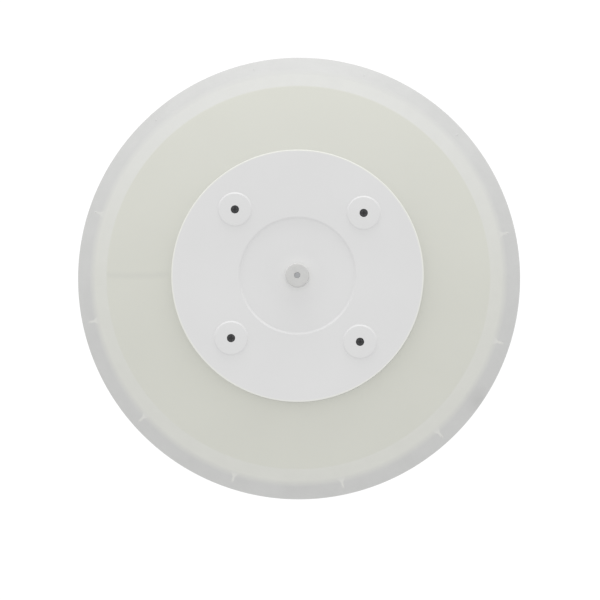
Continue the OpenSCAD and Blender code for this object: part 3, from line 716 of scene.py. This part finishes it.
def edges(tree, width, strength):
    """Mask of the edges, from how far a rounded normal leans away from the true one."""
    rounded_off = node(tree, "ShaderNodeBevel", Radius=width)
    rounded_off.samples = 4
    true = tree.nodes.new("ShaderNodeNewGeometry")
    lean = vectors(tree, "DOT_PRODUCT", rounded_off.outputs["Normal"], true.outputs["Normal"])
    return spread(tree, lean.outputs["Value"], strength, 0, span=EDGE_LEAN)


def bump(tree, shader, height, distance):
    """Bumps the shader's normal by the height, with relief in metres."""
    made = node(tree, "ShaderNodeBump", Height=height, Strength=1.0, Distance=distance)
    tree.links.new(made.outputs["Normal"], shader.inputs["Normal"])


def tinted(colour, share):
    """The colour made lighter or darker by a share."""
    return tuple(min(1.0, c * share) for c in colour)


def plastic(name, colour, rough, grain=6500, depth=0.00001, drift=0.012, specular=0.35):
    """Moulded plastic: eroded grain, a slow drift of colour, and edges worn smooth."""
    material, tree, shader, place = start_material(name, 0, specular)
    slow = noise(tree, place, scale=45, detail=4)
    body = mixed(tree, spread(tree, slow, 0, 1), tinted(colour, 1 - drift), tinted(colour, 1 + drift))
    width, strength, lighter = PLASTIC_WEAR
    body = mixed(tree, edges(tree, width, strength), body, tinted(colour, lighter))
    tree.links.new(body, shader.inputs["Base Color"])
    fine = noise(tree, place, grain, detail=2)
    down, up = PLASTIC_GLOSS
    tree.links.new(spread(tree, fine, rough - down, rough + up), shader.inputs["Roughness"])
    bump(tree, shader, fine, depth)
    return material, body


def metal(name, colour, rough, stretch=(1, 1, 1), grain=3000, dull=0.75, depth=0.000004, bare=1.0):
    """Bare or plated metal: fine drawn lines, stains that dull it, and brighter edges."""
    material, tree, shader, place = start_material(name, bare, 0.5)
    drawn = node(tree, "ShaderNodeMapping", Vector=place, Scale=stretch)
    lines = noise(tree, drawn.outputs["Vector"], grain)
    stain = spread(tree, noise(tree, place, scale=260, detail=5), 0, 1, span=STAIN_SPAN)
    body = mixed(tree, stain, colour, tinted(colour, dull))
    width, strength, lighter = METAL_WEAR
    body = mixed(tree, edges(tree, width, strength), body, tinted(colour, lighter))
    tree.links.new(body, shader.inputs["Base Color"])
    down, up = METAL_GLOSS
    tree.links.new(spread(tree, lines, rough - down, rough + up), shader.inputs["Roughness"])
    bump(tree, shader, lines, depth)
    return material


def clouded(tree, place, colour, scale, swing):
    """A tint that drifts a little lighter and darker over a few millimetres."""
    cloud = spread(tree, noise(tree, place, scale, detail=4, rough=0.6), 0, 1)
    return mixed(tree, cloud, tinted(colour, 1 - swing), tinted(colour, 1 + swing))


def fins(tree, split, radius):
    """Mask of the painted highlight on the grip ribs: a thin line down each crest that spreads into the
    band.
    """
    pitch = 2 * math.pi / RIB_COUNT
    turn = maths(tree, "ARCTAN2", split.outputs["Y"], split.outputs["X"])
    step = maths(tree, "SUBTRACT", turn, math.radians(RIB_PHASE))
    aside = maths(tree, "ABSOLUTE", maths(tree, "WRAP", step, pitch / 2, -pitch / 2))
    across = maths(tree, "MULTIPLY", aside, radius)
    half_w = spread(tree, radius, *FIN_HALF_W, span=FIN_TAPER)
    line = spread(tree, maths(tree, "SUBTRACT", across, half_w), 1, 0, span=(0, FIN_BLUR))
    starts = spread(tree, radius, 0, 1, span=FIN_START)
    ends = spread(tree, radius, 1, 0, span=FIN_END)
    return maths(tree, "MULTIPLY", line, maths(tree, "MULTIPLY", starts, ends))


def shade_patch(tree, place):
    """Mask of one soft patch of painted shade on the rim."""
    reach = vectors(tree, "DISTANCE", place, SHADE_PATCH_AT)
    blot = maths(tree, "MULTIPLY", noise(tree, place, scale=400, detail=4), SHADE_PATCH_RAGGED)
    far = maths(tree, "ADD", reach.outputs["Value"], blot)
    return spread(tree, far, 1, 0, span=SHADE_PATCH_REACH)


def shade_streak(tree, place, split):
    """Mask of a faint wavering line of painted shade across the face, from the band to the cap on the -X
    side.
    """
    waver = maths(tree, "MULTIPLY", noise(tree, place, scale=120), SHADE_STREAK_SWING)
    aside = maths(tree, "ABSOLUTE", maths(tree, "ADD", split.outputs["Y"], waver))
    line = spread(tree, aside, 1, 0, span=SHADE_STREAK_HALF_W)
    return maths(tree, "MULTIPLY", line, spread(tree, split.outputs["X"], 1, 0, span=SHADE_STREAK_END))


def coordinates(material):
    """A material's tree, its shader, and the place on the object whole, split and as a radius."""
    tree = material.node_tree
    shader = tree.nodes["Principled BSDF"]
    place = tree.nodes.new("ShaderNodeTexCoord").outputs["Object"]
    split = node(tree, "ShaderNodeSeparateXYZ", Vector=place)
    return tree, shader, place, split, from_axis(tree, place)


def face_plastic():
    """The shell's plastic: paler on the band and greyer on the clouded rim, with painted shade beside the
    cap on the +Y side, a painted reflection on the band's +Y side, a painted streak and patch of shade, and
    painted highlights on the rib crests away from +Y.
    """
    material, body = plastic("face_plastic", FACE_TINT, 0.5)
    tree, shader, place, split, radius = coordinates(material)
    # Mask of the +Y side, towards the lamp: it carries the painted reflection on the band and the painted
    # shade beside the cap, and keeps the painted rib highlights off that side
    lamp_side = spread(tree, split.outputs["Y"], 0, 1, span=LAMP_SIDE_REACH)
    # Painted shade beside the cap, on the +Y side only
    cap_side_shade = maths(tree, "MULTIPLY", lamp_side, spread(tree, radius, 1, 0, span=CAP_SIDE_SHADE_REACH))
    # Painted shade: a darker streak across the face on the -X side
    face = mixed(tree, shade_streak(tree, place, split), mixed(tree, cap_side_shade, body, CAP_SIDE_SHADE_TINT), SHADE_STREAK_TINT)
    # Painted reflection: the band turns less yellow towards +Y
    band = mixed(tree, lamp_side, clouded(tree, place, BAND_TINT, *BAND_CLOUD),
                 clouded(tree, place, BAND_SHEEN_TINT, *BAND_CLOUD))
    rim = clouded(tree, place, RIM_TINT, *RIM_CLOUD)
    tone = mixed(tree, spread(tree, radius, 0, 1, span=BAND_START), face, band)
    tone = mixed(tree, spread(tree, radius, 0, 1, span=RIM_START), tone, rim)
    # Painted shade: one dark patch on the rim
    tone = mixed(tree, shade_patch(tree, place), tone, SHADE_PATCH_TINT)
    # Painted highlight on the rib crests, kept off the +Y side
    fin_highlight = maths(tree, "MULTIPLY", fins(tree, split, radius), maths(tree, "SUBTRACT", 1.0, lamp_side))
    tree.links.new(mixed(tree, fin_highlight, tone, FIN_HIGHLIGHT_TINT), shader.inputs["Base Color"])
    return material


def cap_plastic():
    """The cap's plastic: a painted highlight, a little yellow, round its edge and upper wall, and painted
    light round the hub that lifts the shade at its foot.
    """
    material, body = plastic("cap_plastic", CAP_TINT, 0.45)
    tree, shader, _, split, radius = coordinates(material)
    # Painted light round the hub, strongest at its foot, to lift the shade there
    hub_foot_light = spread(tree, radius, 1, 0, span=HUB_FOOT_LIGHT_REACH)
    tone = mixed(tree, maths(tree, "MULTIPLY", hub_foot_light, hub_foot_light), body, HUB_FOOT_LIGHT_TINT)
    outside = spread(tree, radius, 0, 1, span=CAP_EDGE_LIGHT_FROM)
    # Painted highlight on the cap's edge and upper wall
    cap_edge_light = maths(tree, "MULTIPLY", outside, spread(tree, split.outputs["Z"], 0, 1, span=CAP_EDGE_LIGHT_ABOVE))
    tree.links.new(mixed(tree, cap_edge_light, tone, CAP_EDGE_LIGHT_TINT), shader.inputs["Base Color"])
    return material


def rubber():
    """Matt black rubber with a little dust on it."""
    material, tree, shader, place = start_material("rubber", 0, 0.2)
    dust = spread(tree, noise(tree, place, scale=900, detail=5), 0, 1, span=(0.4, 0.8))
    body = mixed(tree, dust, RUBBER_TINT, RUBBER_DUST_TINT)
    tree.links.new(body, shader.inputs["Base Color"])
    tree.links.new(spread(tree, dust, 0.7, 0.9, span=(0, 1)), shader.inputs["Roughness"])
    bump(tree, shader, noise(tree, place, scale=4000), 0.00001)
    return material


def make_materials():
    """One material for each material slot of the record."""
    return {
        "base_plastic": plastic("base_plastic", BASE_TINT, 0.5)[0],
        "face_plastic": face_plastic(),
        "cap_plastic": cap_plastic(),
        "phenolic": plastic("phenolic", (0.035, 0.028, 0.024), 0.4, grain=2500, drift=0.25,
                            specular=0.5)[0],
        "rubber": rubber(),
        "brass": metal("brass", (0.70, 0.50, 0.22), 0.34, stretch=(1, 14, 1)),
        "spring_bronze": metal("spring_bronze", (0.62, 0.36, 0.18), 0.3, stretch=(1, 10, 1)),
        "zinc_steel": metal("zinc_steel", (0.47, 0.48, 0.49), 0.45),
        "black_steel": plastic("black_steel", (0.045, 0.045, 0.047), 0.42, grain=5000, drift=0.2,
                               specular=0.5)[0],
        "collector_metal": metal("collector_metal", (0.66, 0.66, 0.65), 0.7, grain=5000, dull=0.95,
                                 bare=0.4),
        "aluminium": metal("aluminium", (0.68, 0.68, 0.69), 0.3, stretch=(1, 1, 12)),
        "solder": metal("solder", (0.35, 0.35, 0.37), 0.5, dull=0.6),
        "silver": metal("silver", (0.80, 0.79, 0.77), 0.25),
    }


def dress(piece, body, slot, materials, replaced):
    """Gives a piece its material, and lets it ride and stand for its CAD node."""
    piece.data.materials.clear()
    piece.data.materials.append(materials[slot])
    even_shading(piece)
    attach(piece, body)
    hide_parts(replaced)


def dress_nodes(frame, materials):
    """Gives every CAD node the material of its slot."""
    for part in frame["record"]["subparts"]:
        obj = frame["nodes"][part["node"]]
        obj.data.materials.clear()
        obj.data.materials.append(materials[part["material_slot"]])


# Scene

# Table, in millimetres
TABLE_R = 2500
TABLE_T = 20
TABLE_STEPS = 96
TABLE_GLOW = 0.94
TABLE_ROUGH = 0.8

# Lights, in metres and watts
SKY = 0.94
SKY_SWING = 0.1
BOX_AT = (-0.09, 1.65, 0.19)
BOX_AIM = (0, 0, 0.02)
BOX_SIZE = (1.5, 0.36)
BOX_POWER = 9.2

# Camera, in metres
RIM_PLANE = 0.0158
CAMERA_AT = Vector((0.0280, -0.0470, RIM_PLANE + 1.0))
CAMERA_AIM = Vector((0.00052, -0.00597, RIM_PLANE))
CAMERA_ROLL = math.radians(1.68)
VIEW_WIDTH = 0.16264
SENSOR_WIDTH = 36
VIEW_DEPTH = (0.05, 20)


def table_top():
    """A plain pale table top, lit a little from within."""
    material, tree, shader, place = start_material("table_top", 0, 0.1)
    tone = mixed(tree, noise(tree, place, scale=30), *TABLE_TINTS)
    tree.links.new(tone, shader.inputs["Base Color"])
    shader.inputs["Roughness"].default_value = TABLE_ROUGH
    feed(tree, shader.inputs["Emission Color"], PLAIN_WHITE)
    shader.inputs["Emission Strength"].default_value = TABLE_GLOW
    bm = bmesh.new()
    prism(bm, circle(0, 0, TABLE_R, TABLE_STEPS), -TABLE_T, 0)
    table = finish_mesh("table_top", bm)
    table.data.materials.append(material)


def area_light(name, place, aim, size, power):
    """A rectangular lamp that looks from one point at another."""
    data = bpy.data.lights.new(name, "AREA")
    data.shape = "RECTANGLE"
    data.size, data.size_y = size
    data.energy = power
    light = bpy.data.objects.new(name, data)
    light.location = place
    light.rotation_mode = "QUATERNION"
    light.rotation_quaternion = (Vector(aim) - Vector(place)).to_track_quat("-Z", "Y")
    bpy.context.scene.collection.objects.link(light)


def studio():
    """A pale surround that is brighter towards +Y, and a low broad soft lamp on that side."""
    world = bpy.data.worlds.new("studio")
    bpy.context.scene.world = world
    world.use_nodes = True
    tree = world.node_tree
    split = tree.nodes.new("ShaderNodeSeparateXYZ")
    tree.links.new(tree.nodes.new("ShaderNodeTexCoord").outputs["Generated"], split.inputs[0])
    low, high = SKY * (1 - SKY_SWING), SKY * (1 + SKY_SWING)
    level = spread(tree, split.outputs["Y"], low, high, span=(-1, 1))
    sky = tree.nodes["Background"]
    feed(tree, sky.inputs["Color"], PLAIN_WHITE)
    tree.links.new(level, sky.inputs["Strength"])
    area_light("soft_box", BOX_AT, BOX_AIM, BOX_SIZE, BOX_POWER)
    bpy.context.scene.view_settings.view_transform = "Standard"
    bpy.context.scene.view_settings.look = "None"


def camera():
    """Looks almost straight at the face, from a little below and to the right."""
    data = bpy.data.cameras.new("camera")
    data.sensor_width = SENSOR_WIDTH
    data.lens = data.sensor_width * (CAMERA_AT - CAMERA_AIM).length / VIEW_WIDTH
    data.clip_start, data.clip_end = VIEW_DEPTH
    back = (CAMERA_AT - CAMERA_AIM).normalized()
    right = Vector((0, 1, 0)).cross(back).normalized()
    upright = Matrix((right, back.cross(right), back)).transposed()
    cam = bpy.data.objects.new("camera", data)
    cam.location = CAMERA_AT
    cam.rotation_mode = "QUATERNION"
    cam.rotation_quaternion = (upright @ Matrix.Rotation(CAMERA_ROLL, 3, "Z")).to_quaternion()
    bpy.context.scene.collection.objects.link(cam)
    bpy.context.scene.camera = cam


def outer_radius(name):
    """Outer radius of a round CAD node, in millimetres."""
    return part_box(name)[1].x / MM


def build(frame):
    """Dresses the CAD nodes, and builds the pieces that stand for the five visible ones."""
    materials = make_materials()
    dress_nodes(frame, materials)
    cap_r = outer_radius("centre_cap")
    base = mounting_base(outer_radius("mounting_base"))
    dress(base, "base", "base_plastic", materials, "mounting_base")
    body = detector_body(outer_radius("detector_body"), cap_r)
    dress(body, "head", "face_plastic", materials, "detector_body")
    dress(centre_cap(cap_r), "head", "cap_plastic", materials, "centre_cap")
    dress(cap_screws(), "head", "black_steel", materials, "cap_screws")
    hub = heat_collector(outer_radius("heat_collector"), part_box("heat_collector")[1].z / MM)
    dress(hub, "head", "collector_metal", materials, "heat_collector")


def clear_scene():
    """Removes the objects that a new scene starts with."""
    for obj in list(bpy.data.objects):
        bpy.data.objects.remove(obj)


clear_scene()
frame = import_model()
build(frame)
table_top()
studio()
camera()
